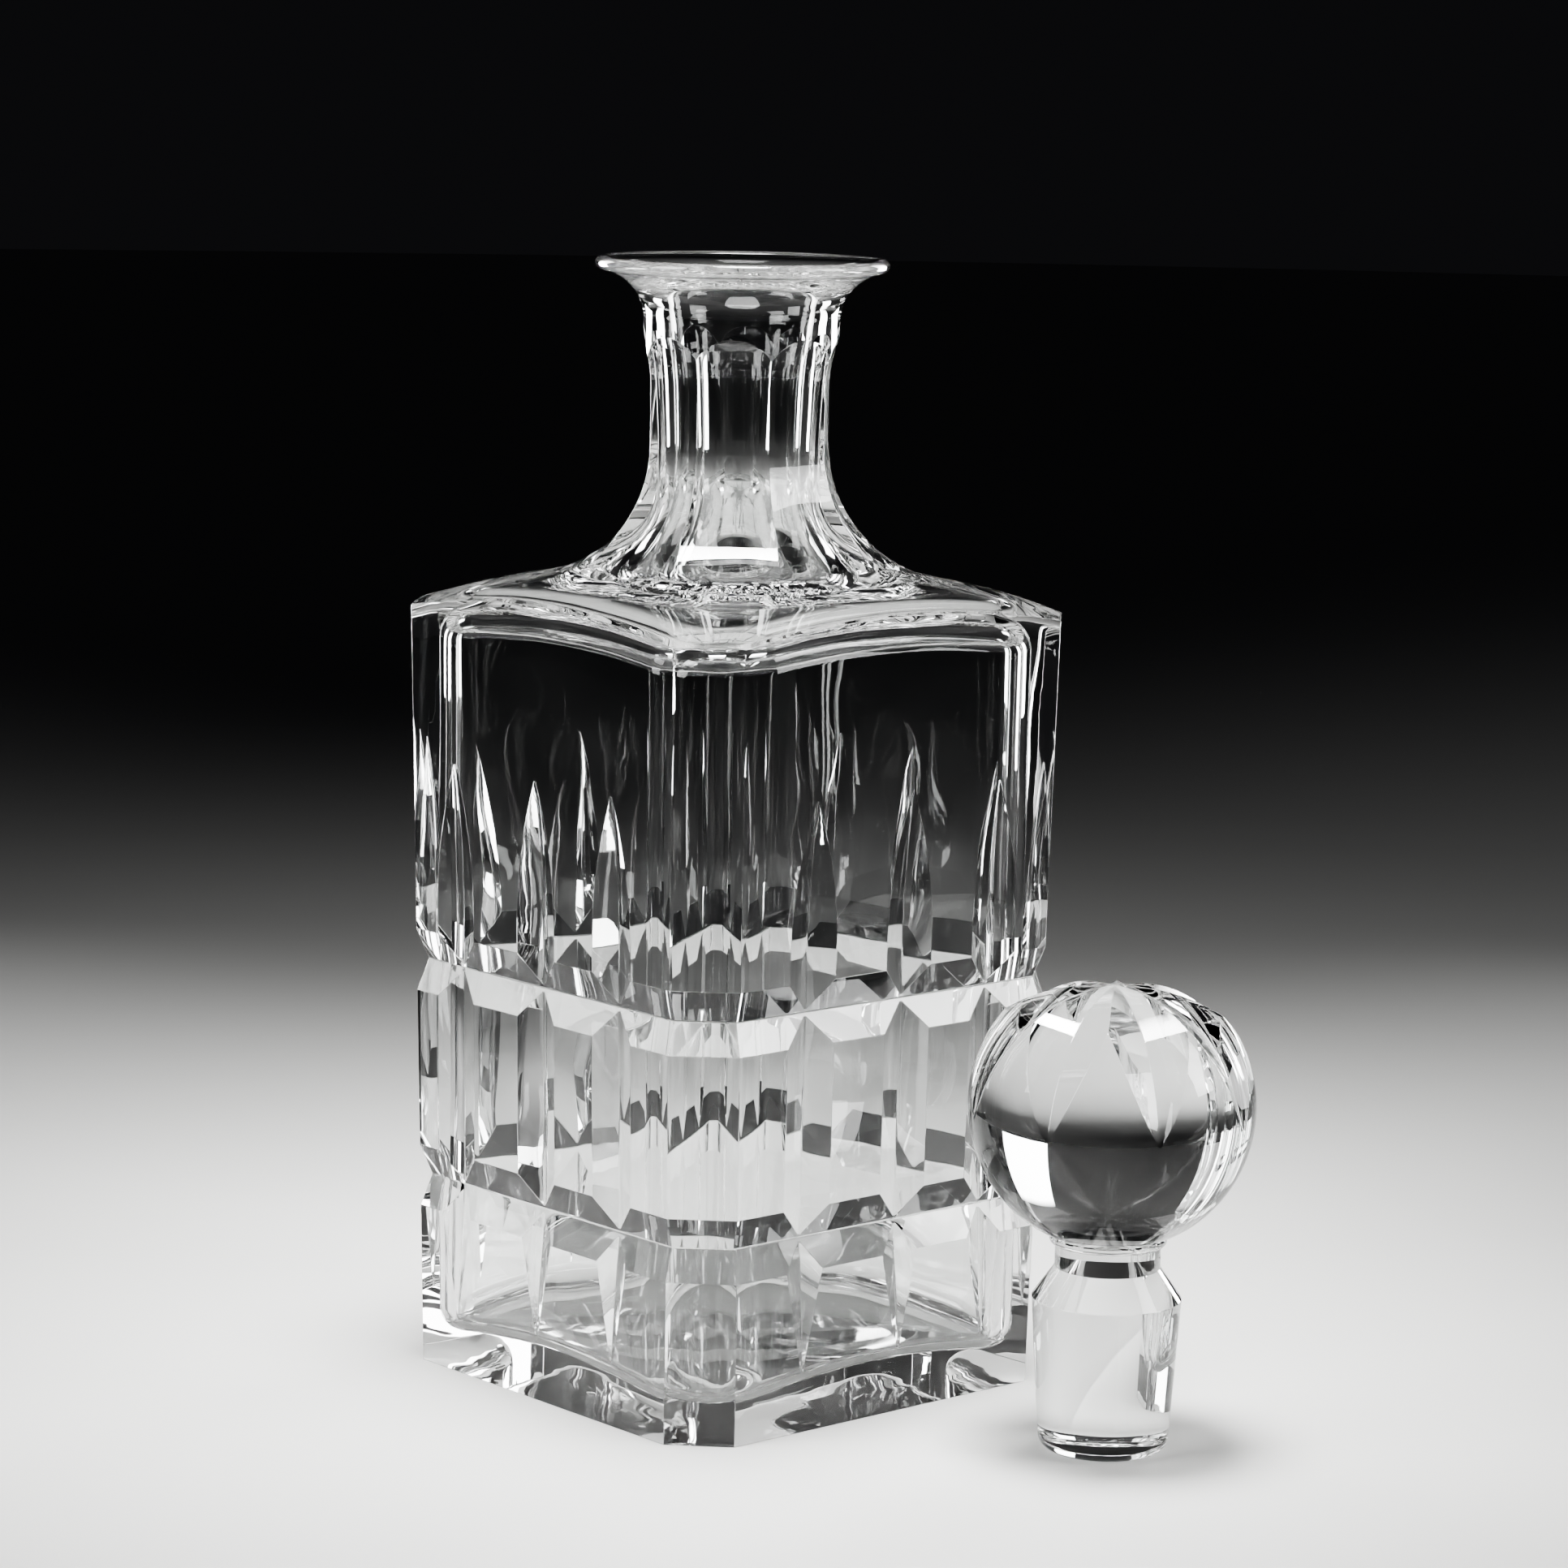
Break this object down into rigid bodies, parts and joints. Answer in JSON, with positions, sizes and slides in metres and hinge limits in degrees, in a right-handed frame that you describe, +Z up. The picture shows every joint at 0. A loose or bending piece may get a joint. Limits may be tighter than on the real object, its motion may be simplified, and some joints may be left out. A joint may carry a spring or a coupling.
{
  "type": "decanter",
  "caption": "Square cut-glass decanter with a fluted neck and flared lip, and a solid ball stopper with a ground plug standing beside it.",
  "frame": {"origin": "middle of the bottle's flat underside, on the surface that it stands on", "axes": "+Z up along the neck; the bottle's flat faces look along X and Y; the stopper stands on the +X side"},
  "size_m": [0.1506, 0.09, 0.2],
  "materials": {
    "bottle_glass": "clear cut crystal, polished",
    "stopper_glass": "clear cut crystal, polished"
  },
  "bodies": {
    "bottle_body": {"bottle": "bottle_glass"},
    "stopper_body": {"stopper": "stopper_glass"}
  },
  "joints": [
    {"name": "stopper_lift", "type": "slide", "parent": "bottle_body", "child": "stopper_body", "axis": [0, 0, 1], "range_m": [0, 0.205]}
  ]
}
